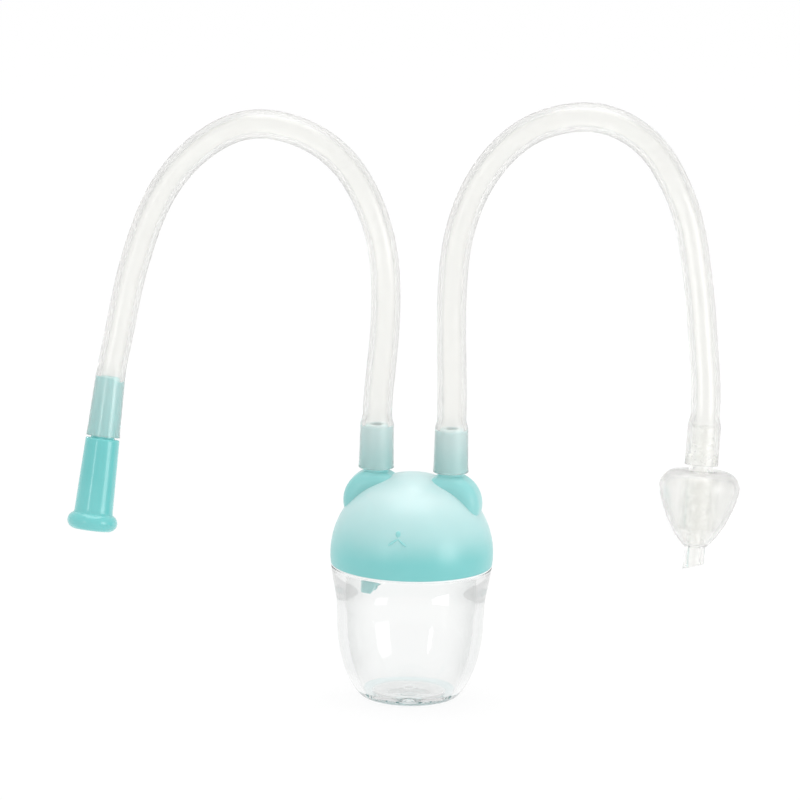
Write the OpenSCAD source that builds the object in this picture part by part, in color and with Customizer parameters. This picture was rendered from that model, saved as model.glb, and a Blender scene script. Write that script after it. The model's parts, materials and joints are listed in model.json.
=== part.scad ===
// Suction-by-mouth nasal aspirator for a baby: a clear cup with a bear-head lid,
// a hose to a mouthpiece and a hose to a soft nose tip.
// The origin is the centre of the cup's foot, +Z is up and the bear faces -Y.

/* [Cup] */
// Height from the foot to the ledge that carries the gasket
cup_h = 37.1; // [32:0.1:48]
// Radius of the flat foot
foot_r = 11; // [8:0.5:13]
// Radius of the wall where the rounded bottom ends
cup_r = 20.1; // [18:0.1:21]
// Height of the rounded bottom
bowl_h = 22; // [16:1:24]
// Thickness of the clear wall
cup_wall = 2.7; // [1.5:0.1:3]
// Thickness of the floor
floor_t = 2.6; // [1.6:0.1:4]
// Height of the neck above the ledge
neck_h = 7.5; // [5:0.5:9]
// Thickness of the neck
neck_wall = 1.6; // [1.2:0.1:2]

/* [Lid] */
// Radius of the ball that the bear's head is cut from
head_r = 22.3; // [21.5:0.1:27]
// Height of the ball's centre above the rim
head_lift = 3; // [1:0.5:5]
// Wall of the lid
lid_wall = 1.6; // [1.2:0.1:2]
// Play between the neck and the lid's bore
neck_play = 0.05; // [0.02:0.01:0.1]
// Thickness of the gasket between the cup and the lid
gasket_t = 0.5; // [0.4:0.1:1]

/* [Ears and ports] */
// Distance of each port and ear from the middle
port_x = 10.4; // [9.4:0.1:11.5]
// Radius of an ear
ear_r = 8.6; // [8:0.1:9.6]
// Half of an ear's thickness
ear_t = 5.2; // [4.8:0.1:6]
// Rounding of an ear's edges
ear_round = 3.4; // [2:0.1:4]
// Height of the ears above the top of the ball
ear_over = 0.7; // [0.6:0.1:3]
// Radius of a port's spigot
spigot_r = 3.5; // [2.9:0.1:4.2]
// Length of a port's spigot above the hose's end
spigot_l = 12.1; // [9:0.1:14]
// Radius of the air way through a spigot
air_r = 2; // [1.2:0.1:2.2]
// Gap between an ear and the hose's end
hose_gap = 0.5; // [0.2:0.1:1]

/* [Drop tube] */
// Depth of the drop tube's long side below the rim
drop_depth = 6.5; // [5:0.1:12]
// Radius of the drop tube
drop_r = 3.5; // [3.1:0.1:3.8]
// Radius of the way through the drop tube
drop_bore_r = 2.3; // [1.6:0.1:2.5]
// Slant of the drop tube's end, in degrees
drop_slant = 52; // [0:1:60]
// Wall of the socket that holds the drop tube
socket_wall = 1.4; // [1:0.1:1.6]
// Length of the socket
socket_l = 6; // [4:0.5:7]

/* [Hoses] */
// Radius of a hose
hose_r = 4; // [3.7:0.1:4.3]
// Radius of a hose's bore
hose_bore_r = 2.5; // [1.8:0.1:2.7]
// Wall of a hose where it is stretched over a spigot
stretch_wall = 1.3; // [1:0.1:1.5]
// Play between a spigot and a hose
hose_play = 0.1; // [0.02:0.01:0.1]

/* [Mouthpiece] */
// Radius of the mouthpiece under the hose
grip_top_r = 4.7; // [4:0.1:5.2]
// Radius of the mouthpiece above the flange
grip_low_r = 5.3; // [4.8:0.1:5.6]
// Length of the grip
grip_l = 20.6; // [15:0.1:26]
// Radius of the rounded flange
flange_r = 6.9; // [6.2:0.1:8]
// Thickness of the rounded flange
flange_t = 4.8; // [3:0.1:6]
// Radius of the mouthpiece's spigot at its foot
mouth_spigot_r = 3.3; // [3.2:0.1:3.7]
// Radius of the mouthpiece's spigot at its tip
mouth_spigot_tip_r = 2.85; // [2.6:0.1:3]
// Length of the mouthpiece's spigot under the hose
mouth_spigot_l = 16.6; // [12:0.1:18]
// Radius of the mouthpiece's bore
mouth_bore_r = 2.5; // [1.8:0.1:2.8]
// Gap between the hose's end and the grip
mouth_gap = 0.6; // [0.2:0.1:1]
// Lean of the mouthpiece to the side, in degrees
mouth_lean = 4; // [0:0.1:10]
// Tilt of the mouthpiece's low end to the front, in degrees
mouth_tilt = 11; // [0:1:20]

/* [Nose tip] */
// Radius of the connector
link_r = 3.25; // [2.7:0.05:3.9]
// Radius of the connector's stepped end
link_step_r = 2.5; // [2.1:0.1:2.7]
// Radius of the way through the connector
link_bore_r = 1.6; // [1.2:0.1:1.9]
// Length of the connector under the hose
link_top_l = 10.8; // [8:0.1:14]
// Length of the connector that shows between the hose and the bulb
link_neck_l = 1.4; // [0.8:0.1:3]
// Radius of the bulb
bulb_r = 10.95; // [10:0.05:13]
// Height of the bulb
bulb_h = 21.2; // [19:0.1:26]
// Wall of the bulb
bulb_wall = 1.5; // [1.2:0.1:1.8]
// Depth of the socket that is rolled into the bulb
bulb_socket_l = 16; // [12:0.5:17]
// Wall of that socket
bulb_socket_wall = 1.85; // [1.4:0.05:2]
// Radius of the outlet tube
outlet_r = 2.85; // [2.5:0.05:3.2]
// Radius of the outlet's bore
outlet_bore_r = 1.55; // [1.2:0.05:1.8]
// Length of the outlet tube on its long side
outlet_l = 6.2; // [4:0.1:8]
// Slant of the outlet's end, in degrees
outlet_slant = 17; // [0:1:30]
// Play between the connector and the soft socket
bulb_play = 0.03; // [0.02:0.01:0.08]
// Lean of the nose tip to the side, in degrees
nose_lean = 1.7; // [0:0.1:10]
// Tilt of the nose tip's low end to the front, in degrees
nose_tilt = 9; // [0:1:20]

/* [Hidden] */
$fn = 96;
eps = 0.01;

aqua = [0.49, 0.82, 0.82];
clear = [0.92, 0.95, 0.96, 0.4];
silicone = [0.95, 0.95, 0.94, 0.7];
frosted = [0.96, 0.96, 0.95, 0.8];

rim_z = cup_h + gasket_t;
rim_r = sqrt(head_r * head_r - head_lift * head_lift);
ear_top = head_lift + head_r + ear_over;
rim_step = 0.1; // the ledge and the gasket stand back from the lid by this much
ledge_r = rim_r - rim_step;
gasket_r = ledge_r - rim_step - 0.05;
flare_h = 11;
draft = 0.052;
bowl_power = 1.87;
inner_r = cup_r + draft * (cup_h - flare_h - bowl_h) - cup_wall;
neck_r = inner_r + neck_wall;
lid_bore_r = neck_r + neck_play;
lid_bore_h = neck_h + gasket_t;
floor_ring_r = foot_r - 0.9;
floor_ring_h = 0.3;
neck_root = 3;

port_top_z = rim_z + ear_top + hose_gap + spigot_l;
hose_seat_z = rim_z + ear_top + hose_gap;
ear_z = rim_z + ear_top - ear_r;
port_low_z = rim_z + 12; // the nose side's air way opens here, inside the lid
socket_low_z = rim_z + lid_bore_h;
socket_seat = 1.5; // solid between the drop tube's top and the port's foot
lip_step = 0.2; // a port's spigot narrows by this much to its tip

// The places where the far ends of the hoses sit, each at the hose's cut end.
mouth_seat = [-85.3, -8, 69.5];
nose_seat = [81.3, -7, 72.2];

// ---------- outlines ----------

// A quarter superellipse from the foot, a wall with draft, then a flare to the ledge.
function bowl_radius(z) =
    z < bowl_h
    ? foot_r + (cup_r - foot_r) * pow(1 - pow((bowl_h - z) / bowl_h, bowl_power), 1 / bowl_power)
    : cup_r + draft * (z - bowl_h);
function flare_part(z) = max(0, (z - cup_h + flare_h) / flare_h);
function ease(f) = 3 * f * f - 2 * f * f * f;
function cup_outer(z) = bowl_radius(z) + (ledge_r - bowl_radius(cup_h)) * ease(flare_part(z));
function cup_inner(z) = min(inner_r, bowl_radius(z) - cup_wall);

// Catmull-Rom curve through points, used for the bulb's outline.
function curve_point(a, b, c, d, t) =
    0.5 * (2 * b + (c - a) * t + (2 * a - 5 * b + 4 * c - d) * t * t + (3 * b - a - 3 * c + d) * t * t * t);
function curve(points, steps) = [
    for (i = [0 : len(points) - 2])
        for (k = [0 : steps - 1])
            curve_point(points[max(i - 1, 0)], points[i], points[i + 1],
                        points[min(i + 2, len(points) - 1)], k / steps),
    points[len(points) - 1]
];
function unit(v) = v / norm(v);
function inward(points, wall) = [
    for (i = [0 : len(points) - 1])
        let (t = unit(points[min(i + 1, len(points) - 1)] - points[max(i - 1, 0)]))
        points[i] + wall * [-t[1], t[0]]
];
function reverse(list) = [for (i = [len(list) - 1 : -1 : 0]) list[i]];

// Uniform cubic B-spline: the curve runs from the second control point to the last but one.
function spline_point(p, t) =
    let (i = min(floor(t), len(p) - 4), f = t - i)
    (pow(1 - f, 3) * p[i] + (3 * pow(f, 3) - 6 * f * f + 4) * p[i + 1]
     + (-3 * pow(f, 3) + 3 * f * f + 3 * f + 1) * p[i + 2] + pow(f, 3) * p[i + 3]) / 6;
function spline_way(p, t) = unit(spline_point(p, min(t + 0.01, len(p) - 3)) - spline_point(p, max(t - 0.01, 0)));

// ---------- small shapes ----------

module rounded_disc(r, half, round) {
    rotate_extrude() {
        intersection() {
            union() {
                translate([0, -half]) square([r - round, 2 * half]);
                translate([0, round - half]) square([r, 2 * (half - round)]);
                translate([r - round, half - round]) circle(round);
                translate([r - round, round - half]) circle(round);
            }
            translate([0, -half]) square([r, 2 * half]);
        }
    }
}

module tube(r, bore, h) {
    difference() {
        cylinder(r = r, h = h);
        translate([0, 0, -eps]) cylinder(r = bore, h = h + 2 * eps);
    }
}

// A tapered spigot with a rounded lip, standing on its foot.
module spigot(foot, tip, length, lip = 0.6) {
    rotate_extrude() {
        intersection() {
            union() {
                polygon([[0, 0], [foot, 0], [tip, length - lip], [tip - lip, length - lip], [0, length - lip]]);
                square([tip - lip, length]);
                translate([tip - lip, length - lip]) circle(lip);
            }
            square([foot, length]);
        }
    }
}

// A hose: rings swept along a route of control points, wider where it grips a spigot at each end.
// start_grip and end_grip are the gripped lengths in spans of the route, and the hose
// comes back to its own size over relax spans.
hose_sides = 12;
relax = 0.35;
function grip(t, held) = 1 - ease(min(1, max(0, (t - held) / relax)));
function hose_rings(spans, start_grip, end_grip) = concat(
    [0, start_grip, start_grip + relax / 2],
    [for (k = [ceil((start_grip + relax) * 2) : floor((spans - end_grip - relax) * 2)]) k / 2],
    [spans - end_grip - relax / 2, spans - end_grip, spans]
);
function ring(p, t, r) =
    let (c = spline_point(p, t), w = spline_way(p, t), out = unit(cross([0, 1, 0], w)), side = cross(w, out))
    [for (k = [0 : hose_sides - 1])
        let (turn = 360 * k / hose_sides)
        c + r * (cos(turn) * out + sin(turn) * side)];

module hose(route, start_r, start_grip, end_r, end_tip_r, end_grip) {
    spans = len(route) - 3;
    stops = hose_rings(spans, start_grip, end_grip);
    flat = 1 / cos(180 / hose_sides);
    n = len(stops);
    // Radius of the bore at a stop: the spigots stretch it.
    function bore_at(t) =
        let (a = grip(t, start_grip), b = grip(spans - t, end_grip),
             far = end_tip_r + (end_r - end_tip_r) * max(0, 1 - (spans - t) / end_grip))
        hose_bore_r + a * (start_r + hose_play - hose_bore_r) + b * (far + hose_play - hose_bore_r);
    function skin_at(t) =
        let (g = max(grip(t, start_grip), grip(spans - t, end_grip)))
        bore_at(t) + (1 - g) * (hose_r - hose_bore_r) + g * stretch_wall;
    points = concat(
        [for (t = stops) for (q = ring(route, t, skin_at(t) * flat)) q],
        [for (t = stops) for (q = ring(route, t, bore_at(t) * flat)) q]
    );
    inner = n * hose_sides;
    last = (n - 1) * hose_sides;
    faces = [
        for (i = [0 : n - 2])
            for (k = [0 : hose_sides - 1])
                let (a = i * hose_sides + k, b = i * hose_sides + (k + 1) % hose_sides)
                each [
                    [a, b, b + hose_sides],
                    [a, b + hose_sides, a + hose_sides],
                    [inner + a, inner + b + hose_sides, inner + b],
                    [inner + a, inner + a + hose_sides, inner + b + hose_sides]
                ],
        for (k = [0 : hose_sides - 1])
            let (j = (k + 1) % hose_sides)
            each [
                [k, inner + k, inner + j],
                [k, inner + j, j],
                [last + k, last + j, inner + last + j],
                [last + k, inner + last + j, inner + last + k]
            ]
    ];
    polyhedron(points, faces, convexity = 8);
}

// ---------- routes of the hoses ----------

grip_span = 10;
function seat_points(seat, way) = [for (k = [-1 : 2]) seat + k * grip_span * way];
function end_way(lean, tilt) = [cos(tilt) * sin(lean), sin(tilt), cos(tilt) * cos(lean)];
mouth_route = concat(
    seat_points([-port_x, 0, hose_seat_z], [0, 0, 1]),
    [[-9, 0, 97], [-8.5, 0, 109], [-9, 0, 121.5], [-11.5, 0, 132.5], [-17, 0, 144.5], [-25, 0, 153],
     [-36.5, 0, 158], [-49, 0, 158.5], [-59.5, 0, 152.5], [-68, 0, 144], [-74, 0, 133.5],
     [-77.5, -0.5, 122.5], [-80.5, -1.2, 111], [-82, -2.5, 99.5]],
    reverse(seat_points(mouth_seat, end_way(mouth_lean, mouth_tilt)))
);
nose_route = concat(
    seat_points([port_x, 0, hose_seat_z], [0, 0, 1]),
    [[10, 0, 97], [9.5, 0, 109.5], [10, 0, 124], [12, 0, 135], [17, 0, 147.5], [25.5, 0, 158], [35, 0, 164],
     [49.5, 0, 167], [62, 0, 161.5], [69, 0, 153], [75, 0, 140], [77, -0.5, 129], [79, -1, 116.5],
     [80, -2, 106]],
    reverse(seat_points(nose_seat, end_way(nose_lean, nose_tilt)))
);

// ---------- the pieces ----------

module collection_cup() {
    level_step = 1.2;
    levels = [for (z = [0 : level_step : cup_h - level_step / 4]) z];
    outside = [for (z = levels) [cup_outer(z), z]];
    inside = [for (z = levels) if (z > floor_t + floor_ring_h) [cup_inner(z), z]];
    color(clear)
        difference() {
            union() {
                rotate_extrude()
                    polygon(concat([[0, 0]], outside, [[ledge_r, cup_h], [neck_r, cup_h], [0, cup_h]]));
                translate([0, 0, cup_h - neck_root]) cylinder(r = neck_r, h = neck_root + neck_h);
            }
            rotate_extrude()
                polygon(concat([[0, floor_t + floor_ring_h], [floor_ring_r, floor_t + floor_ring_h],
                                [floor_ring_r, floor_t]], inside,
                               [[inner_r, cup_h + neck_h + 1], [0, cup_h + neck_h + 1]]));
        }
}

module rim_gasket() {
    color(silicone)
        translate([0, 0, cup_h])
            tube(gasket_r, lid_bore_r, gasket_t);
}

module ear(r, half, round) {
    translate([0, 0, ear_z])
        rotate([90, 0, 0])
            rounded_disc(r, half, round);
}

module both_sides() {
    for (side = [-1, 1])
        translate([side * port_x, 0, 0])
            children();
}

// The bear's nose and mouth, drawn in X and Z and raised by a small step from the head.
module face_mark() {
    mark_z = 12.7;
    mouth_z = mark_z - 1.35;
    rise = 0.3;
    deep = 4;
    stroke = 0.4;
    slope = 32;
    intersection() {
        translate([0, 0, rim_z + head_lift]) sphere(head_r + rise);
        translate([0, deep - head_r, rim_z])
            rotate([90, 0, 0])
                linear_extrude(deep + rise) {
                    for (z = [-0.3, 0.3])
                        translate([0, mark_z + z]) circle(0.7);
                    for (side = [-1, 1])
                        translate([0, mouth_z])
                            rotate(-90 + side * (90 - slope))
                                translate([-stroke / 2, -stroke / 2]) square([2.8, stroke]);
                }
    }
}

module bear_lid() {
    port_root = hose_gap + 2; // the spigot starts inside the ear
    color(aqua)
        difference() {
            union() {
                difference() {
                    union() {
                        intersection() {
                            translate([0, 0, rim_z + head_lift]) sphere(head_r);
                            translate([0, 0, rim_z]) cylinder(r = head_r + 1, h = 2 * head_r);
                        }
                        both_sides() ear(ear_r, ear_t, ear_round);
                        face_mark();
                    }
                    // Bore over the neck, and the hollow head and ears above it.
                    translate([0, 0, rim_z - 1]) cylinder(r = lid_bore_r, h = lid_bore_h + 1);
                    intersection() {
                        translate([0, 0, rim_z + head_lift]) sphere(head_r - lid_wall);
                        translate([0, 0, rim_z]) cylinder(r = lid_bore_r - neck_wall / 2, h = 2 * head_r);
                    }
                    both_sides() ear(ear_r - lid_wall, ear_t - lid_wall, ear_round - lid_wall);
                }
                both_sides()
                    translate([0, 0, port_low_z])
                        cylinder(r = spigot_r, h = hose_seat_z - port_low_z);
                both_sides()
                    translate([0, 0, hose_seat_z - port_root])
                        spigot(spigot_r, spigot_r - lip_step, spigot_l + port_root);
                // Socket for the drop tube, on the mouth side.
                translate([-port_x, 0, socket_low_z])
                    cylinder(r = drop_r + socket_wall, h = socket_l + socket_seat);
            }
            both_sides() translate([0, 0, rim_z]) cylinder(r = air_r, h = port_top_z);
            translate([-port_x, 0, socket_low_z - 1]) cylinder(r = drop_r, h = socket_l + 1);
        }
}

// The tube's end is flat on its outer half and slants up from its axis on the other.
module drop_tube() {
    top = socket_low_z + socket_l;
    low = rim_z - drop_depth;
    color(aqua)
        translate([-port_x, 0, 0])
            difference() {
                translate([0, 0, low]) tube(drop_r, drop_bore_r, top - low);
                translate([0, 0, low])
                    rotate([0, -drop_slant, 0])
                        translate([0, -drop_r - 1, -4 * drop_r]) cube([4 * drop_r, 2 * drop_r + 2, 4 * drop_r]);
            }
}

module mouth_hose() {
    color(silicone)
        hose(mouth_route, spigot_r, spigot_l / grip_span, mouth_spigot_r, mouth_spigot_tip_r,
             mouth_spigot_l / grip_span);
}

module nose_hose() {
    color(silicone)
        hose(nose_route, spigot_r, spigot_l / grip_span, link_r, link_r, link_top_l / grip_span);
}

// Drawn on its own axis, with z = 0 at the hose's cut end.
module mouthpiece() {
    low = -mouth_gap - grip_l - flange_t;
    half = flange_t / 2;
    tip_wall = 1;
    bore_top = -mouth_gap - 2;
    color(aqua)
        translate(mouth_seat)
            rotate([-mouth_tilt, mouth_lean, 0])
                difference() {
                    union() {
                        translate([0, 0, -mouth_gap - 1])
                            cylinder(r = mouth_spigot_r, h = mouth_gap + 1);
                        spigot(mouth_spigot_r, mouth_spigot_tip_r, mouth_spigot_l);
                        translate([0, 0, low + half])
                            cylinder(r1 = grip_low_r, r2 = grip_top_r, h = grip_l + half);
                        translate([0, 0, low + half])
                            rounded_disc(flange_r, half, half - 0.2);
                    }
                    translate([0, 0, low - 1]) cylinder(r = mouth_bore_r, h = bore_top - low + 1);
                    cylinder(r = mouth_spigot_tip_r - tip_wall, h = 100, center = true);
                }
}

// The connector and the tip are drawn on their own axis, with z = 0 at the hose's cut end.
bulb_top = -link_neck_l;
bulb_low = bulb_top - bulb_h;
socket_low = bulb_top - bulb_socket_l;

module nose_place() {
    translate(nose_seat)
        rotate([-nose_tilt, nose_lean, 0])
            children();
}

module nose_connector() {
    step_low = bulb_low + 1.4;
    color(frosted)
        nose_place()
            difference() {
                union() {
                    translate([0, 0, socket_low]) cylinder(r = link_r, h = -socket_low);
                    spigot(link_r, link_r - lip_step / 2, link_top_l);
                    translate([0, 0, step_low]) cylinder(r = link_step_r, h = -step_low);
                }
                cylinder(r = link_bore_r, h = 100, center = true);
            }
}

module nose_tip() {
    // Outline of the bulb from its small end to the dish round the connector.
    outline = curve([
        [outlet_r, 0], [bulb_r * 0.41, bulb_h * 0.08], [bulb_r * 0.58, bulb_h * 0.2],
        [bulb_r * 0.77, bulb_h * 0.38], [bulb_r * 0.94, bulb_h * 0.61], [bulb_r, bulb_h * 0.76],
        [bulb_r * 0.96, bulb_h * 0.87], [bulb_r * 0.82, bulb_h * 0.955], [bulb_r * 0.6, bulb_h],
        [bulb_r * 0.4, bulb_h * 0.99], [link_r + bulb_play, bulb_h * 0.97]
    ], 4);
    hollow = [for (q = inward(outline, bulb_wall))
        if (q[0] > link_r + bulb_socket_wall && q[1] > 0) q];
    socket_r = link_r + bulb_play;
    color(silicone)
        nose_place()
            translate([0, 0, bulb_low])
                difference() {
                    union() {
                        difference() {
                            rotate_extrude()
                                polygon(concat([[0, 0]], outline, [[0, bulb_h * 0.97]]));
                            rotate_extrude()
                                polygon(concat([[0, 1.2], [link_step_r + 0.2, 1.2]], hollow, [[0, hollow[len(hollow) - 1][1]]]));
                        }
                        translate([0, 0, bulb_h - bulb_socket_l])
                            cylinder(r = socket_r + bulb_socket_wall, h = bulb_socket_l - bulb_wall);
                        translate([0, 0, -outlet_l]) cylinder(r = outlet_r, h = outlet_l + 0.5);
                    }
                    translate([0, 0, 2]) cylinder(r = socket_r, h = bulb_h);
                    translate([0, 0, -20]) cylinder(r = outlet_bore_r, h = 30);
                    translate([-outlet_r, 0, -outlet_l])
                        rotate([0, -outlet_slant, 0])
                            translate([-outlet_l, -outlet_l, -4 * outlet_l])
                                cube([4 * outlet_l, 2 * outlet_l, 4 * outlet_l]);
                }
}

collection_cup();
rim_gasket();
bear_lid();
drop_tube();
mouth_hose();
nose_hose();
mouthpiece();
nose_connector();
nose_tip();
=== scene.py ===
import json
import math

import bmesh
import bpy
from mathutils import Matrix, Vector


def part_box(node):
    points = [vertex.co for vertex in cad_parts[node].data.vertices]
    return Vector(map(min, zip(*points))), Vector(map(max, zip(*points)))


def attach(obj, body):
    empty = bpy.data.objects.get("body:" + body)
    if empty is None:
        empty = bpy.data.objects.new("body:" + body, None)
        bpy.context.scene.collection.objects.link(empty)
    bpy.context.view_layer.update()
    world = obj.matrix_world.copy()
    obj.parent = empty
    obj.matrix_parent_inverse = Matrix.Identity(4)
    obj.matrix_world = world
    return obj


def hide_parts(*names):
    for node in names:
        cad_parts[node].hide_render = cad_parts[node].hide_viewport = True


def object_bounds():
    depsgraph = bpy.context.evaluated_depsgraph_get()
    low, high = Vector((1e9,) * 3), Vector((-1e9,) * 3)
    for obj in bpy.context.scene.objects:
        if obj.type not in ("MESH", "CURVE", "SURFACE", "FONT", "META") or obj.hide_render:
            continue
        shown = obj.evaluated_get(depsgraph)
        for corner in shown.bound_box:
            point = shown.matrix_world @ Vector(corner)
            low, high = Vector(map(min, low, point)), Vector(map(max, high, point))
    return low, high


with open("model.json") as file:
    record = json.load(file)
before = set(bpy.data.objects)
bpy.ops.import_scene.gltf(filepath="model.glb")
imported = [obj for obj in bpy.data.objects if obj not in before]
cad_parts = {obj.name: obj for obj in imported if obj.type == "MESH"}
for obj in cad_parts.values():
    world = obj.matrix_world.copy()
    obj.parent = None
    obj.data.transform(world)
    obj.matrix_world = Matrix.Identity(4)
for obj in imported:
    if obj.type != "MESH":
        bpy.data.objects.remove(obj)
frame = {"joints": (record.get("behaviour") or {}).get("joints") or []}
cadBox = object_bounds()
mm = 0.001
print("frame loaded")

# Heights in metres and directions, as the frame gives them.
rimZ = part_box("bear_lid")[0].z
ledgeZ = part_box("rim_gasket")[0].z
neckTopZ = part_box("collection_cup")[1].z
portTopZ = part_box("bear_lid")[1].z
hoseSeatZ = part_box("mouth_hose")[0].z
jointAxis = {j["name"]: Vector(j["axis"]) for j in frame["joints"]}
mouthWay = -jointAxis["mouthpiece_pull"]  # up the mouthpiece, towards its hose
noseWay = -jointAxis["tip_pull"]
portX = 0.0104
mouthSeat = Vector((-0.0853, -0.008, 0.0695))  # the cut end of the mouth hose
noseSeat = Vector((0.0813, -0.007, 0.0722))

view = {
    "azimuth": 11.0,
    "elevation": 13.1,
    "roll": 1.2,
    "distance": 7.0,
    "width": 0.2192,  # what the frame takes in across the object
    "across": -0.00315,
    "up": 0.04466,
    "sensor": 36,
}


def addCamera():
    a, e = math.radians(view["azimuth"]), math.radians(view["elevation"])
    forward = Vector((-math.sin(a) * math.cos(e), math.cos(a) * math.cos(e), -math.sin(e)))
    right = Vector((math.cos(a), math.sin(a), 0))
    up = right.cross(forward)
    roll = math.radians(view["roll"])
    right, up = right * math.cos(roll) + up * math.sin(roll), up * math.cos(roll) - right * math.sin(roll)
    target = Vector((0, 0, rimZ)) + right * view["across"] + up * view["up"]
    bpy.ops.object.camera_add()
    camera = bpy.context.object
    turn = Matrix((right, up, -forward)).transposed().to_4x4()
    camera.matrix_world = Matrix.Translation(target - forward * view["distance"]) @ turn
    camera.data.sensor_width = view["sensor"]
    camera.data.lens = view["sensor"] * view["distance"] / view["width"]
    camera.data.clip_start = 0.05
    camera.data.clip_end = 50
    bpy.context.scene.camera = camera


# Where each softbox stands, in degrees round from the camera and up, then its width, height and power.
softboxes = {
    "topSoftbox": (180, 84, 0.9, 0.9, 5.2),
    "rightSoftbox": (53, 4, 0.45, 0.55, 2.5),
    "leftStrip": (-40, 9, 0.06, 0.3, 0.45),
}
studio = {"lightDistance": 1.0, "lightAim": 0.06, "world": 0.8, "floor": 12, "bounces": 28, "glossyBounces": 12}


def addSoftbox(name, azimuth, elevation, width, height, power):
    a, e = math.radians(view["azimuth"] + azimuth), math.radians(elevation)
    away = Vector((math.sin(a) * math.cos(e), -math.cos(a) * math.cos(e), math.sin(e)))
    bpy.ops.object.light_add(type="AREA")
    light = bpy.context.object
    light.name = name
    light.data.shape = "RECTANGLE"
    light.data.size = width
    light.data.size_y = height
    light.data.energy = power
    light.location = Vector((0, 0, studio["lightAim"])) + away * studio["lightDistance"]
    light.rotation_euler = away.to_track_quat("Z", "Y").to_euler()


def addStudio():
    for name, settings in softboxes.items():
        addSoftbox(name, *settings)
    world = bpy.data.worlds.new("studio")
    bpy.context.scene.world = world
    world.use_nodes = True
    background = world.node_tree.nodes["Background"]
    background.inputs["Color"].default_value = rgb(1, 1, 1)
    background.inputs["Strength"].default_value = studio["world"]
    bpy.ops.mesh.primitive_plane_add(size=studio["floor"], location=(0, 0, cadBox[0][2] - 0.0001))
    floor = bpy.context.object
    floor.name = "floor"
    floor.data.materials.append(floorPaint())
    scene = bpy.context.scene
    scene.view_settings.view_transform = "Standard"
    scene.cycles.max_bounces = studio["bounces"]  # light crosses many walls of clear plastic
    scene.cycles.transmission_bounces = studio["bounces"]
    scene.cycles.glossy_bounces = studio["glossyBounces"]


# A shader node's output socket; an operator on it adds a Math node.
class Value:
    def __init__(self, paint, socket):
        self.paint = paint
        self.socket = socket

    def join(self, operation, other, flipped=False):
        pair = [other, self] if flipped else [self, other]
        return self.paint.add("ShaderNodeMath", {"operation": operation}, {0: pair[0], 1: pair[1]})

    def __add__(self, other):
        return self.join("ADD", other)

    def __radd__(self, other):
        return self.join("ADD", other, True)

    def __sub__(self, other):
        return self.join("SUBTRACT", other)

    def __rsub__(self, other):
        return self.join("SUBTRACT", other, True)

    def __mul__(self, other):
        return self.join("MULTIPLY", other)

    def __rmul__(self, other):
        return self.join("MULTIPLY", other, True)

    def __pow__(self, other):
        return self.join("POWER", other)


class Paint:
    # A material whose nodes are added one at a time.
    def __init__(self, name):
        self.material = bpy.data.materials.new(name)
        self.material.use_nodes = True
        self.tree = self.material.node_tree
        self.shader = self.tree.nodes["Principled BSDF"]

    def add(self, kind, settings=None, inputs=None, output=0):
        node = self.tree.nodes.new(kind)
        for key, value in (settings or {}).items():
            setattr(node, key, value)
        for key, value in (inputs or {}).items():
            self.feed(node.inputs[key], value)
        return Value(self, node.outputs[output])

    def feed(self, socket, value):
        if isinstance(value, Value):
            self.tree.links.new(value.socket, socket)
        else:
            socket.default_value = value

    def set(self, **values):
        # Sockets of the Principled shader, with spaces written as underscores.
        for key, value in values.items():
            self.feed(self.shader.inputs[key.replace("_", " ")], value)

    def place(self):
        return self.add("ShaderNodeTexCoord", output="Object")

    def noise(self, scale, detail):
        return self.add("ShaderNodeTexNoise", inputs={"Vector": self.place(), "Scale": scale, "Detail": detail})

    def ramp(self, value, low, high, below=0.0, above=1.0):
        # Maps value from low..high to below..above, with soft ends.
        return self.add("ShaderNodeMapRange", {"interpolation_type": "SMOOTHSTEP"},
                        {"Value": value, "From Min": low, "From Max": high, "To Min": below, "To Max": above})

    def mixColor(self, share, first, second):
        return self.add("ShaderNodeMix", {"data_type": "RGBA"}, {0: share, 6: first, 7: second}, output=2)

    def bump(self, height, strength, distance):
        return self.add("ShaderNodeBump", inputs={"Height": height, "Strength": strength, "Distance": distance})

    def edge(self, low, high):
        # 0 where the surface faces the ray, 1 where it turns away: clear pieces get painted shade there.
        facing = self.add("ShaderNodeLayerWeight", inputs={"Blend": 0.5}, output=1)
        return self.ramp(facing, low, high)

    def measure(self, operation, vector):
        # The distance of each place from a point, or its height along a direction.
        return self.add("ShaderNodeVectorMath", {"operation": operation}, {0: self.place(), 1: vector}, output=1)

    def axis(self, name):
        return self.add("ShaderNodeSeparateXYZ", inputs={0: self.place()}, output="xyz".index(name))


def rgb(red, green, blue):
    return (red, green, blue, 1)


def floorPaint():
    paint = Paint("paleFloor")
    paint.set(Base_Color=rgb(0.1, 0.1, 0.1), Roughness=1.0, Specular_IOR_Level=0.0,
              Emission_Color=rgb(1, 1, 1), Emission_Strength=0.9)
    return paint.material


headCentre = (0, 0, rimZ + 0.003)


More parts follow.
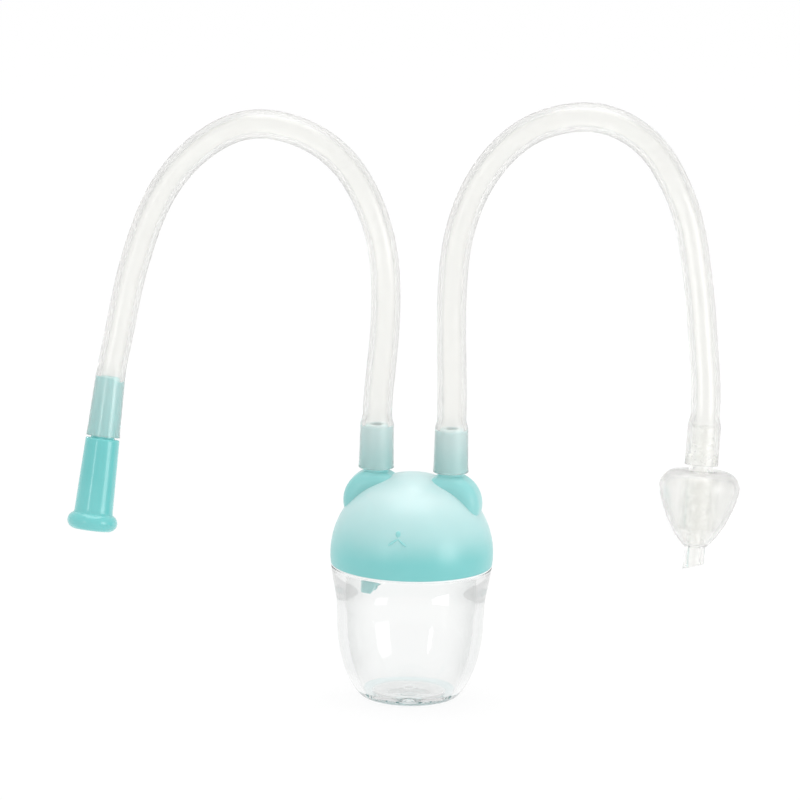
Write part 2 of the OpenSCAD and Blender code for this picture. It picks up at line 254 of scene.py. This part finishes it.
def lidPaleWithTopLight(paint, cloud):
    # The head is paler upward: partly where its wall is thin above the neck, partly painted top light and a painted
    # highlight on the forehead. Silicone over a spigot pales that too.
    onHead = paint.ramp(paint.measure("DISTANCE", headCentre), 0.0222, 0.02245, 1.0, 0.0)
    height = paint.axis("z") + (cloud - 0.5) * 0.003
    # Paler towards the top: the thin wall low down, then painted top light and a painted forehead highlight higher up.
    thinWallAndTopLight = paint.ramp(height, rimZ + 0.0035, rimZ + 0.013) * 0.62
    thinWallAndTopLight = thinWallAndTopLight + paint.ramp(height, rimZ + 0.010, rimZ + 0.023) * 0.43
    spigot = paint.ramp(paint.axis("z"), hoseSeatZ - 0.0004, hoseSeatZ + 0.0004) * 0.22
    spigot = spigot + paint.ramp(paint.axis("z"), hoseSeatZ, portTopZ) * 0.4
    x, y = paint.axis("x"), paint.axis("y")
    across = (x * x) ** 0.5 - portX
    airWay = paint.ramp((across * across + y * y) ** 0.5, 0.0021, 0.0025, 1.0, 0.0) * 0.6
    return onHead * thinWallAndTopLight + (1 - onHead) * (spigot + airWay + 0.18)


def mouthPale(paint, cloud):
    along = paint.measure("DOT_PRODUCT", mouthWay) - mouthSeat.dot(mouthWay)
    return paint.ramp(along, -0.0004, 0.0002) * 0.3 + paint.ramp(along, 0.0, 0.016) * 0.12 + (cloud - 0.5) * 0.05


def dropPale(paint, cloud):
    return cloud * 0.1 + 0.4


def aquaPlastic(name, paleAt, gloss):
    paint = Paint(name)
    cloud = paint.noise(45, 3)
    deep = paint.mixColor(paint.ramp(cloud, 0.35, 0.65), rgb(0.15, 0.555, 0.55), rgb(0.175, 0.585, 0.58))
    shade = paint.mixColor(paleAt(paint, cloud), deep, rgb(0.68, 0.8, 0.8))
    paint.set(Base_Color=shade, IOR=1.5,
              Roughness=paint.ramp(paint.noise(260, 2), 0.3, 0.7, gloss + 0.1, gloss + 0.14),
              Subsurface_Weight=0.2, Subsurface_Radius=(0.8, 1.4, 1.4), Subsurface_Scale=0.002,
              Coat_Weight=0.5, Coat_Roughness=gloss,
              Normal=paint.bump(paint.noise(90, 1), 0.02, 0.0003))
    return paint.material


def clearPlastic():
    # The foot's edge gets a painted aqua glow, standing in for the lid's colour carried down the clear wall, and above
    # the floor the thick wall gets painted shade where it turns away.
    paint = Paint("clearPlastic")
    x, y = paint.axis("x"), paint.axis("y")
    # Painted aqua glow along the foot's edge.
    foot = paint.ramp((x * x + y * y) ** 0.5, 0.0098, 0.0106)
    foot = foot * paint.ramp(paint.axis("z"), 0.0008, 0.0022, 1.0, 0.0)
    # Painted shade where the wall turns away from the view.
    rim = paint.edge(0.12, 0.8) * paint.ramp(paint.axis("z"), 0.004, 0.010)
    wall = paint.mixColor(rim, rgb(0.965, 0.97, 0.967), rgb(0.72, 0.735, 0.73))
    paint.set(Base_Color=paint.mixColor(foot, wall, rgb(0.8, 0.95, 0.96)),
              Roughness=0.012, IOR=1.49, Transmission_Weight=1.0, Specular_IOR_Level=0.3,
              Normal=paint.bump(paint.noise(90, 1), 0.03, 0.0003))
    return paint.material


def hoseSilicone():
    paint = Paint("hoseSilicone")
    haze = paint.noise(220, 3)
    wall = paint.mixColor(haze, rgb(0.9, 0.9, 0.885), rgb(0.925, 0.925, 0.91))
    # Painted shade where the wall turns away from the view.
    paint.set(Base_Color=paint.mixColor(paint.edge(0.25, 0.85), wall, rgb(0.7, 0.7, 0.69)),
              Roughness=paint.ramp(paint.noise(400, 3), 0.3, 0.7, 0.2, 0.24), IOR=1.41,
              Transmission_Weight=0.88,
              Normal=paint.bump(paint.noise(70, 1), 0.02, 0.0002))
    return paint.material


def softSilicone():
    paint = Paint("softSilicone")
    haze = paint.noise(160, 4)
    wall = paint.mixColor(haze, rgb(0.9, 0.9, 0.885), rgb(0.92, 0.92, 0.91))
    # Painted shade where the wall turns away from the view.
    paint.set(Base_Color=paint.mixColor(paint.edge(0.35, 0.9), wall, rgb(0.84, 0.84, 0.83)),
              Roughness=paint.ramp(paint.noise(300, 3), 0.3, 0.7, 0.21, 0.25), IOR=1.41,
              Transmission_Weight=0.92,
              Normal=paint.bump(paint.noise(70, 1), 0.01, 0.0002))
    return paint.material


def frostedPlastic():
    paint = Paint("frostedPlastic")
    haze = paint.noise(200, 3)
    paint.set(Base_Color=paint.mixColor(haze, rgb(0.91, 0.91, 0.895), rgb(0.93, 0.93, 0.92)),
              Roughness=paint.ramp(paint.noise(600, 4), 0.3, 0.7, 0.25, 0.32), IOR=1.49,
              Transmission_Weight=0.88,
              Normal=paint.bump(paint.noise(120, 2), 0.02, 0.0002))
    return paint.material


def whiteSilicone():
    paint = Paint("whiteSilicone")
    paint.set(Base_Color=paint.mixColor(paint.noise(200, 3), rgb(0.92, 0.94, 0.94), rgb(0.96, 0.97, 0.97)),
              Roughness=paint.ramp(paint.noise(600, 3), 0.3, 0.7, 0.4, 0.5), IOR=1.41)
    return paint.material


def clearSelection():
    bpy.ops.object.select_all(action="DESELECT")


def choose(piece):
    clearSelection()
    piece.select_set(True)
    bpy.context.view_layer.objects.active = piece


def arc(centre, radius, start, end, steps):
    # Points on a circle in the outline's plane; angles in degrees from +r towards +z.
    turns = [math.radians(start + (end - start) * k / steps) for k in range(steps + 1)]
    return [(centre[0] + radius * math.cos(t), centre[1] + radius * math.sin(t)) for t in turns]


def turned(name, outline, steps=144):
    # Spins an outline of (radius, height) points, in millimetres, about Z.
    clearSelection()
    bpy.ops.mesh.primitive_plane_add(size=0.001)
    piece = bpy.context.object
    piece.name = name
    bpy.ops.object.mode_set(mode="EDIT")
    bpy.ops.mesh.select_all(action="SELECT")
    bpy.ops.mesh.merge(type="CENTER")
    bpy.ops.transform.translate(value=(outline[0][0] * mm, 0, outline[0][1] * mm))
    for before, after in zip(outline, outline[1:]):
        step = ((after[0] - before[0]) * mm, 0, (after[1] - before[1]) * mm)
        bpy.ops.mesh.extrude_vertices_move(TRANSFORM_OT_translate={"value": step})
    bpy.ops.mesh.select_all(action="SELECT")
    bpy.ops.mesh.spin(steps=steps, angle=2 * math.pi, center=(0, 0, 0), axis=(0, 0, 1))
    bpy.ops.mesh.select_all(action="SELECT")
    bpy.ops.mesh.remove_doubles(threshold=1e-6)
    bpy.ops.mesh.normals_make_consistent(inside=False)
    bpy.ops.object.mode_set(mode="OBJECT")
    return piece


def turnAlong(way):
    # The turn that stands Z along way: a tilt to the front, then a lean to the side.
    tilt, lean = math.asin(way.y), math.atan2(way.x, way.z)
    return Matrix.Rotation(lean, 4, "Y") @ Matrix.Rotation(-tilt, 4, "X")


def moveTo(piece, place, turn=Matrix.Identity(4)):
    # Turns the piece, puts its origin at place, and bakes both into its mesh.
    piece.data.transform(Matrix.Translation(place) @ turn)
    piece.data.update()
    return piece


def cutWith(piece, tool, operation="DIFFERENCE"):
    choose(piece)
    modifier = piece.modifiers.new("cut", "BOOLEAN")
    modifier.operation = operation
    modifier.solver = "EXACT"
    modifier.object = tool
    bpy.ops.object.modifier_apply(modifier=modifier.name)
    bpy.data.objects.remove(tool)
    return piece


def cutSlant(piece, corner, degrees):
    # Cuts off what lies under a slanted plane through corner, and closes the end.
    slant = math.radians(degrees)
    choose(piece)
    bpy.ops.object.mode_set(mode="EDIT")
    bpy.ops.mesh.select_all(action="SELECT")
    bpy.ops.mesh.bisect(plane_co=corner, plane_no=(-math.sin(slant), 0, math.cos(slant)),
                        use_fill=True, clear_inner=True)
    bpy.ops.object.mode_set(mode="OBJECT")
    return piece


def smooth(piece, angle=32):
    choose(piece)
    bpy.ops.object.shade_smooth_by_angle(angle=math.radians(angle))
    return piece


def finishPiece(piece, material, body, slot, *nodes, clear=False):
    piece.data.materials.clear()
    piece.visible_shadow = not clear  # light from the softboxes goes straight through clear pieces
    piece.data.materials.append(material)
    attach(piece, body)
    if nodes:
        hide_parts(*nodes)
    print("made", piece.name, len(piece.data.polygons), "faces")
    return piece


# Sizes here and below are in millimetres.
hoseSizes = {
    "radius": 4.0,
    "bore": 2.5,
    "stretchWall": 1.3,
    "spigot": 3.5,
    "spigotTaper": 0.2,
    "spigotLength": 12.1,
    "squeeze": 0.03,  # silicone and spigot touch, so nothing shows between them
    "spanAtEnds": 10.0,
    "sides": 120,
}


def seatPoints(seat, way):
    return [seat + way * (k * hoseSizes["spanAtEnds"] * mm) for k in (-1, 0, 1, 2)]


def millimetres(points):
    return [Vector(p) * mm for p in points]


mouthRoute = (
    seatPoints(Vector((-portX, 0, hoseSeatZ)), Vector((0, 0, 1)))
    + millimetres([(-9, 0, 97), (-8.5, 0, 109), (-9, 0, 121.5), (-11.5, 0, 132.5), (-17, 0, 144.5), (-25, 0, 153),
                   (-36.5, 0, 158), (-49, 0, 158.5), (-59.5, 0, 152.5), (-68, 0, 144), (-74, 0, 133.5),
                   (-77.5, -0.5, 122.5), (-80.5, -1.2, 111), (-82, -2.5, 99.5)])
    + seatPoints(mouthSeat, mouthWay)[::-1]
)
noseRoute = (
    seatPoints(Vector((portX, 0, hoseSeatZ)), Vector((0, 0, 1)))
    + millimetres([(10, 0, 97), (9.5, 0, 109.5), (10, 0, 124), (12, 0, 135), (17, 0, 147.5), (25.5, 0, 158),
                   (35, 0, 164), (49.5, 0, 167), (62, 0, 161.5), (69, 0, 153), (75, 0, 140), (77, -0.5, 129),
                   (79, -1, 116.5), (80, -2, 106)])
    + seatPoints(noseSeat, noseWay)[::-1]
)


def splinePoint(route, t):
    # Uniform cubic B-spline, from the second control point to the last but one.
    i = min(int(t), len(route) - 4)
    f = t - i
    weights = ((1 - f) ** 3, 3 * f ** 3 - 6 * f * f + 4, -3 * f ** 3 + 3 * f * f + 3 * f + 1, f ** 3)
    return sum((route[i + k] * w for k, w in enumerate(weights)), Vector()) / 6


def walkRoute(route, step):
    # Points at even steps along the route, and the route's length.
    spans = len(route) - 3
    fine = [splinePoint(route, spans * k / 4000) for k in range(4001)]
    far = [0.0]
    for a, b in zip(fine, fine[1:]):
        far.append(far[-1] + (b - a).length)
    count = round(far[-1] / step)
    points, k = [], 0
    for n in range(count + 1):
        want = far[-1] * n / count
        while k < len(far) - 2 and far[k + 1] < want:
            k += 1
        share = (want - far[k]) / (far[k + 1] - far[k])
        points.append(fine[k].lerp(fine[k + 1], share))
    return points, far[-1]


def ease(value):
    value = min(1, max(0, value))
    return 3 * value ** 2 - 2 * value ** 3


def makeHose(name, route, endRadius, endTip, endLength):
    path, length = walkRoute(route, 0.0008)
    total = length / mm
    wall = hoseSizes["radius"] - hoseSizes["bore"]

    def boreAt(s):
        # The bore follows each spigot, bulges over its lip and eases back to its own size.
        left = total - s
        start = 1 - ease((s - hoseSizes["spigotLength"] + 0.3) / 3.2)
        end = 1 - ease((left - endLength + 0.3) / 3.2)
        port = hoseSizes["spigot"] - hoseSizes["spigotTaper"] * min(1, s / (hoseSizes["spigotLength"] - 0.7))
        fitting = endTip + (endRadius - endTip) * max(0, 1 - left / (endLength - 0.6))
        held = hoseSizes["bore"] + hoseSizes["squeeze"]
        return hoseSizes["bore"] + start * (port - held) + end * (fitting - held)

    def skinAt(s):
        grip = max(1 - ease((s - hoseSizes["spigotLength"]) / 3.4), 1 - ease((total - s - endLength) / 3.4))
        flare = 0.12 * (1 - ease(s / 1.6)) + 0.12 * (1 - ease((total - s) / 1.6))
        return boreAt(s) + wall + grip * (hoseSizes["stretchWall"] - wall) + flare

    mesh = bpy.data.meshes.new(name)
    shape = bmesh.new()
    rings = []
    count = len(path)
    sides = hoseSizes["sides"]
    turns = [2 * math.pi * k / sides for k in range(sides)]
    for radiusAt in (skinAt, boreAt):
        rows = []
        for n, point in enumerate(path):
            way = (path[min(n + 1, count - 1)] - path[max(n - 1, 0)]).normalized()
            out = Vector((0, 1, 0)).cross(way).normalized()
            side = way.cross(out)
            r = radiusAt(total * n / (count - 1)) * mm
            rows.append([shape.verts.new(point + (out * math.cos(t) + side * math.sin(t)) * r) for t in turns])
        rings.append(rows)
    for rows in rings:
        for a, b in zip(rows, rows[1:]):
            for k in range(sides):
                shape.faces.new((a[k], a[(k + 1) % sides], b[(k + 1) % sides], b[k]))
    for end in (0, -1):
        outer, inner = rings[0][end], rings[1][end]
        for k in range(sides):
            shape.faces.new((outer[k], outer[(k + 1) % sides], inner[(k + 1) % sides], inner[k]))
    bmesh.ops.recalc_face_normals(shape, faces=shape.faces)
    shape.to_mesh(mesh)
    shape.free()
    piece = bpy.data.objects.new(name, mesh)
    bpy.context.scene.collection.objects.link(piece)
    smooth(piece, 50)
    return piece, path, length


cupSizes = {
    "foot": 11.0,
    "wallRadius": 20.1,
    "bowlHeight": 22.0,
    "wall": 2.7,
    "floor": 2.6,
    "flare": 11.0,
    "draft": 0.052,
    "power": 1.87,
    "neckWall": 1.6,
    "ledgeRound": 0.5,
}


def bowlRadius(z):
    s = cupSizes
    if z < s["bowlHeight"]:
        share = 1 - ((s["bowlHeight"] - z) / s["bowlHeight"]) ** s["power"]
        return s["foot"] + (s["wallRadius"] - s["foot"]) * share ** (1 / s["power"])
    return s["wallRadius"] + s["draft"] * (z - s["bowlHeight"])


def makeCup():
    s = cupSizes
    top, neckTop = ledgeZ / mm, neckTopZ / mm
    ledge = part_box("collection_cup")[1].x / mm
    inner = bowlRadius(top - s["flare"]) - s["wall"]
    neck = inner + s["neckWall"]

    def outerAt(z):
        return bowlRadius(z) + (ledge - bowlRadius(top)) * ease((z - top + s["flare"]) / s["flare"])

    # Closely spaced near the foot, where the outline turns fast.
    levels = [top * (k / 90) ** 1.7 for k in range(1, 91)]
    outline = [(0, 0), (s["foot"] * 0.5, 0), (s["foot"] - 0.05, 0)]
    outline += [(outerAt(z), z) for z in levels if z < top - s["ledgeRound"]]
    outline += arc((ledge - s["ledgeRound"], top - s["ledgeRound"]), s["ledgeRound"], 0, 90, 6)
    outline += [(neck + 0.25, top), (neck, top + 0.25)]
    outline += arc((neck - 0.5, neckTop - 0.5), 0.5, 0, 90, 5)
    outline += arc((inner + 0.5, neckTop - 0.5), 0.5, 90, 180, 5)
    inside = [z for z in levels if s["floor"] + 0.5 < z < top - 1]
    outline += [(min(inner, bowlRadius(z) - s["wall"]), z) for z in reversed(inside)]
    ring = s["foot"] - 0.9
    outline += [(ring + 0.15, s["floor"]), (ring, s["floor"] + 0.1), (ring - 0.25, s["floor"] + 0.3)]
    # The moulding's gate mark, a small blister in the middle of the floor.
    outline += [(r, s["floor"] + rise) for r, rise in ((2.6, 0.3), (2.2, 0.42), (1.5, 0.5), (0.9, 0.36), (0, 0.34))]
    return smooth(turned("clearCup", outline, 160), 28)


gasketSizes = {"inside": 18.98, "proud": 0.12, "edge": 0.15}


def makeGasket():
    low, high = ledgeZ / mm, rimZ / mm
    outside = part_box("rim_gasket")[1].x / mm + gasketSizes["proud"]
    inside, edge = gasketSizes["inside"], gasketSizes["edge"]
    outline = [(inside, low), (outside - edge, low)] + arc((outside - edge, low + edge), edge, -90, 0, 4)
    outline += arc((outside - edge, high - edge), edge, 0, 90, 4) + [(inside, high), (inside, low)]
    return smooth(turned("rimGasket", outline, 144))


lidSizes = {
    "ball": 22.3,
    "lift": 3.0,
    "wall": 1.6,
    "boreHeight": 8.0,
    "bore": 18.98,
    "earRadius": 8.6,
    "earHalf": 5.2,
    "earRound": 3.4,
    "earTop": 26.0,
    "spigot": 3.5,
    "spigotTip": 3.3,
    "air": 2.0,
    "rimRound": 0.2,
}


def roundedDisc(name, radius, half, rounding, steps=96):
    outline = [(0, -half), (radius * 0.5, -half)] + arc((radius - rounding, rounding - half), rounding, -90, 0, 14)
    outline += arc((radius - rounding, half - rounding), rounding, 0, 90, 14) + [(radius * 0.5, half), (0, half)]
    return turned(name, outline, steps)


def makeEar(name, side, shrink=0.0):
    s = lidSizes
    disc = roundedDisc(name, s["earRadius"] - shrink, s["earHalf"] - shrink, s["earRound"] - shrink)
    place = Vector((side * portX, 0, rimZ + (s["earTop"] - s["earRadius"]) * mm))
    return moveTo(disc, place, Matrix.Rotation(math.pi / 2, 4, "X"))


def makeBall(name, radius, low, edge=0.0):
    # A ball cut flat at the height low, both in millimetres from the rim; edge rounds the cut.
    s = lidSizes
    start = math.degrees(math.asin((low + edge - s["lift"]) / radius))
    outline = [(0, low)]
    if edge:
        rim = radius * math.cos(math.radians(start))
        outline += arc((rim - edge, low + edge), edge, -90, -8, 6)
    outline += arc((0, s["lift"]), radius, start, 90, 110)
    outline[-1] = (0, outline[-1][1])
    return moveTo(turned(name, outline, 192), Vector((0, 0, rimZ)))


def makeSpigot(name, foot, tip, length, lip=0.7, low=-3.0):
    outline = [(0, low), (foot, low), (foot, 0), (tip, length - lip)]
    outline += arc((tip - lip, length - lip), lip, 8, 90, 7) + [(0, length)]
    return turned(name, outline, 96)


faceSizes = {
    "height": 12.7,  # of the nose above the rim
    "nose": (0.78, 0.5, 1.05),  # half width, half depth and half height
    "mouthDrop": 1.2,
    "stroke": (1.75, 0.42, 0.34),
    "slope": 37.0,
    "rise": 0.3,
}


def makeBlob(name, size, across, height, turn=0.0):
    # A flattened ball lying on the front of the head, turned in its own plane.
    bpy.ops.mesh.primitive_uv_sphere_add(segments=48, ring_count=24, radius=1)
    blob = bpy.context.object
    blob.name = name
    up = height - lidSizes["lift"]
    front = math.sqrt(lidSizes["ball"] ** 2 - up ** 2 - across ** 2)
    sink = size[1] - faceSizes["rise"]
    normal = Vector((across, -front, up)) / lidSizes["ball"]
    place = Vector((across, -front, height)) - normal * sink
    leanBack = Matrix.Rotation(-math.asin(normal.z), 4, "X")
    grow = Matrix.Diagonal((size[0] * mm, size[1] * mm, size[2] * mm, 1))
    shape = leanBack @ Matrix.Rotation(math.radians(turn), 4, "Y") @ grow
    return moveTo(blob, place * mm + Vector((0, 0, rimZ)), shape)


def addFace(lid):
    # A small raised nose over two strokes for the mouth.
    s = faceSizes
    cutWith(lid, makeBlob("nose", s["nose"], 0, s["height"]), "UNION")
    reach = s["stroke"][0] * 0.86
    slope = math.radians(s["slope"])
    for side in (-1, 1):
        middle = s["height"] - s["mouthDrop"] - reach * math.sin(slope)
        stroke = makeBlob("stroke", s["stroke"], side * reach * math.cos(slope), middle, side * s["slope"])
        cutWith(lid, stroke, "UNION")
    return lid


def makeLid():
    s = lidSizes
    lid = makeBall("bearLid", s["ball"], 0.0, s["rimRound"])
    for side in (-1, 1):
        cutWith(lid, makeEar("ear", side), "UNION")
    seat = hoseSeatZ / mm - rimZ / mm
    spigotLength = (portTopZ - hoseSeatZ) / mm
    for side in (-1, 1):
        spigot = makeSpigot("spigot", s["spigot"], s["spigotTip"], spigotLength, low=-4.0)
        moveTo(spigot, Vector((side * portX, 0, rimZ + seat * mm)))
        cutWith(lid, spigot, "UNION")
    addFace(lid)
    # The hollow: a bore for the neck, then the head and the ears at an even wall.
    bore = turned("bore", [(0, -1), (s["bore"] + 0.3, -1), (s["bore"] + 0.3, 0), (s["bore"], 0.3),
                           (s["bore"], s["boreHeight"]), (0, s["boreHeight"])], 160)
    cutWith(lid, moveTo(bore, Vector((0, 0, rimZ))))
    cutWith(lid, makeBall("hollow", s["ball"] - s["wall"], s["boreHeight"] - 0.5))
    for side in (-1, 1):
        cutWith(lid, makeEar("earHollow", side, s["wall"]))
    return lid


# Inside the lid; heights are above the rim.
portSizes = {
    "mouthLow": 8.0,
    "noseLow": 12.0,
    "socketRadius": 4.9,
    "socketTop": 15.5,
    "socketBore": 3.52,
    "socketEnd": 14.0,
    "socketRound": 0.3,
    "airLow": 4.0,
    "airHigh": 45.0,
}


def rodUnder(name, side, radius, low, high, steps=96):
    # A round rod below or through the port on that side.
    rod = turned(name, [(0, low), (radius, low), (radius, high), (0, high)], steps)
    return moveTo(rod, Vector((side * portX, 0, rimZ)))


def makePortTubes(lid):
    # The way through each spigot goes on as a tube inside the lid; the mouth side ends in a socket.
    s, p = lidSizes, portSizes
    top = (hoseSeatZ - rimZ) / mm - 2
    for side in (-1, 1):
        low = p["mouthLow"] if side < 0 else p["noseLow"]
        cutWith(lid, rodUnder("portTube", side, s["spigot"], low, top), "UNION")
        if side < 0:
            wide, edge = p["socketRadius"], p["socketRound"]
            outline = [(0, low), (wide - edge, low), (wide, low + edge), (wide, p["socketTop"] - edge),
                       (wide - edge, p["socketTop"]), (0, p["socketTop"])]
            cutWith(lid, moveTo(turned("socket", outline, 96), Vector((-portX, 0, rimZ))), "UNION")
            cutWith(lid, rodUnder("socketBore", side, p["socketBore"], low - 1, p["socketEnd"]))
        cutWith(lid, rodUnder("airWay", side, s["air"], p["airLow"], p["airHigh"], 64))
    return lid


dropSizes = {"radius": 3.48, "bore": 2.3, "depth": 6.5, "top": 13.95, "slant": 52.0, "lip": 0.3}


def makeDropTube():
    s = dropSizes
    low = -s["depth"]
    outline = [(s["bore"] + s["lip"], low)] + arc((s["radius"] - s["lip"], low + s["lip"]), s["lip"], -90, 0, 5)
    outline += [(s["radius"], s["top"] - 0.2), (s["radius"] - 0.2, s["top"]), (s["bore"], s["top"]),
                (s["bore"], low + s["lip"]), (s["bore"] + s["lip"], low)]
    tube = moveTo(turned("dropTube", outline, 96), Vector((-portX, 0, rimZ)))
    # From its axis on, the end slants up on the side that faces the middle.
    cutSlant(tube, (-portX, 0, rimZ + low * mm), s["slant"])
    edge = tube.modifiers.new("edge", "BEVEL")
    edge.width = 0.0002
    edge.segments = 3
    edge.limit_method = "ANGLE"
    edge.angle_limit = math.radians(50)
    bpy.ops.object.modifier_apply(modifier="edge")
    return smooth(tube)


mouthSizes = {
    "neck": 0.6,
    "gripLength": 20.6,
    "gripTop": 4.7,
    "gripLow": 5.3,
    "flange": 6.9,
    "flangeThick": 4.8,
    "spigot": 3.3,
    "spigotTip": 2.85,
    "spigotLength": 16.6,
    "bore": 2.5,
    "narrow": 1.7,
}


def makeMouthpiece():
    s = mouthSizes
    top = -s["neck"]
    low = top - s["gripLength"]
    half = s["flangeThick"] / 2
    foot = low - s["flangeThick"]
    outline = [(s["bore"], foot + 0.5)] + arc((s["bore"] + 0.5, foot + 0.5), 0.5, 180, 270, 5)
    outline += arc((s["flange"] - half, low - half), half, -90, 54, 22)
    outline += [(s["gripLow"] + 0.26, low - 0.25), (s["gripLow"] + 0.08, low + 0.1), (s["gripLow"], low + 0.6)]
    outline += [(s["gripLow"] + (s["gripTop"] - s["gripLow"]) * k / 8, low + 0.6 + (s["gripLength"] - 1.1) * k / 8)
                for k in range(1, 9)]
    outline += arc((s["gripTop"] - 0.5, top - 0.5), 0.5, 0, 90, 6)
    outline += [(s["spigot"] + 0.1, top), (s["spigot"], top + 0.1), (s["spigot"], 0.0)]
    lip = 0.6
    outline += [(s["spigotTip"], s["spigotLength"] - lip)]
    outline += arc((s["spigotTip"] - lip, s["spigotLength"] - lip), lip, 8, 90, 6)
    outline += [(s["narrow"], s["spigotLength"]), (s["narrow"], -2.6), (s["bore"], -3.4), (s["bore"], foot + 0.5)]
    piece = turned("mouthpiece", outline, 128)
    return smooth(moveTo(piece, mouthSeat, turnAlong(mouthWay)), 30)


tipSizes = {
    "link": 3.25,
    "linkBore": 1.6,
    "linkTop": 10.8,
    "linkStep": 2.5,
    "neck": 1.4,
    "bulb": 10.95,
    "height": 21.2,
    "wall": 1.5,
    "socketDepth": 16.0,
    "socketWall": 1.85,
    "outlet": 2.85,
    "outletBore": 1.55,
    "outletLength": 6.2,
    "slant": 17.0,
}


def makeConnector():
    s = tipSizes
    bulbLow = -s["neck"] - s["height"]
    stepHigh = -s["neck"] - s["socketDepth"]
    stepLow = bulbLow + 1.4
    outline = [(s["linkBore"], stepLow), (s["linkStep"] - 0.2, stepLow), (s["linkStep"], stepLow + 0.2),
               (s["linkStep"], stepHigh), (s["link"] - 0.25, stepHigh), (s["link"], stepHigh + 0.25), (s["link"], 0.0),
               (s["link"] - 0.1, s["linkTop"] - 0.5)]
    outline += arc((s["link"] - 0.6, s["linkTop"] - 0.5), 0.5, 5, 90, 6)
    outline += [(s["linkBore"] + 0.2, s["linkTop"]), (s["linkBore"], s["linkTop"] - 0.2), (s["linkBore"], stepLow)]
    return smooth(moveTo(turned("noseConnector", outline, 96), noseSeat, turnAlong(noseWay)), 30)


def curveThrough(points, steps):
    # Catmull-Rom curve through outline points.
    out = []
    for i in range(len(points) - 1):
        a, b, c, d = points[max(i - 1, 0)], points[i], points[i + 1], points[min(i + 2, len(points) - 1)]
        for k in range(steps):
            t = k / steps
            out.append(tuple(0.5 * (2 * b[n] + (c[n] - a[n]) * t + (2 * a[n] - 5 * b[n] + 4 * c[n] - d[n]) * t * t
                                    + (3 * b[n] - a[n] - 3 * c[n] + d[n]) * t ** 3) for n in (0, 1)))
    return out + [points[-1]]


def insetOutline(points, wall):
    out = []
    for i, point in enumerate(points):
        a, b = Vector(points[max(i - 1, 0)]), Vector(points[min(i + 1, len(points) - 1)])
        way = (b - a).normalized()
        out.append((point[0] - wall * way[1], point[1] + wall * way[0]))
    return out


def makeTip():
    s = tipSizes
    r, h = s["bulb"], s["height"]
    socket = s["link"] + 0.03
    skin = curveThrough([(s["outlet"], 0.0), (r * 0.41, h * 0.08), (r * 0.58, h * 0.2), (r * 0.77, h * 0.38),
                         (r * 0.94, h * 0.61), (r, h * 0.76), (r * 0.96, h * 0.87), (r * 0.82, h * 0.955),
                         (r * 0.6, h), (r * 0.4, h * 0.99), (socket + 0.25, h * 0.972)], 7)
    hollow = [q for q in insetOutline(skin, s["wall"]) if q[0] > socket + s["socketWall"] and q[1] > 1.6]
    socketLow = h - s["socketDepth"]
    outline = [(s["outletBore"], -s["outletLength"] - 1), (s["outlet"], -s["outletLength"] - 1), (s["outlet"], -0.6)]
    outline += skin + [(socket, h * 0.965), (socket, socketLow), (socket + s["socketWall"] - 0.3, socketLow),
                       (socket + s["socketWall"], socketLow + 0.3)]
    outline += hollow[::-1] + [(s["linkStep"] + 0.2, 1.2), (s["outletBore"], 1.0),
                               (s["outletBore"], -s["outletLength"] - 1)]
    tip = cutSlant(turned("noseTip", outline, 128), (-s["outlet"] * mm, 0, -s["outletLength"] * mm), s["slant"])
    place = noseSeat + noseWay * ((-s["neck"] - h) * mm)
    return smooth(moveTo(tip, place, turnAlong(noseWay)), 40)


addCamera()
addStudio()
print("camera and studio ready")

hose = hoseSilicone()
mouthHose, mouthPath, mouthLength = makeHose("mouthHose", mouthRoute, mouthSizes["spigot"],
                                             mouthSizes["spigotTip"], mouthSizes["spigotLength"])
noseHose, nosePath, noseLength = makeHose("noseHose", noseRoute, tipSizes["link"], tipSizes["link"],
                                          tipSizes["linkTop"])
finishPiece(mouthHose, hose, "mouth_line", "hose_silicone", "mouth_hose", clear=True)
finishPiece(noseHose, hose, "nose_line", "hose_silicone", "nose_hose", clear=True)
print("hose lengths", round(mouthLength, 4), round(noseLength, 4))

finishPiece(makeCup(), clearPlastic(), "cup", "clear_plastic", "collection_cup", clear=True)
finishPiece(makeGasket(), whiteSilicone(), "seal", "white_silicone", "rim_gasket")
lid = makePortTubes(makeLid())
finishPiece(smooth(lid, 30), aquaPlastic("aquaLid", lidPaleWithTopLight, 0.27), "lid", "aqua_plastic", "bear_lid")
finishPiece(makeDropTube(), aquaPlastic("aquaDropTube", dropPale, 0.2), "lid", "aqua_plastic", "drop_tube")
mouthpiece = finishPiece(makeMouthpiece(), aquaPlastic("aquaMouthpiece", mouthPale, 0.12),
                         "mouth_end", "aqua_plastic", "mouthpiece")
connector = finishPiece(makeConnector(), frostedPlastic(),
                        "nose_link", "frosted_plastic", "nose_connector", clear=True)
tip = finishPiece(makeTip(), softSilicone(), "nose_end", "soft_silicone", "nose_tip", clear=True)
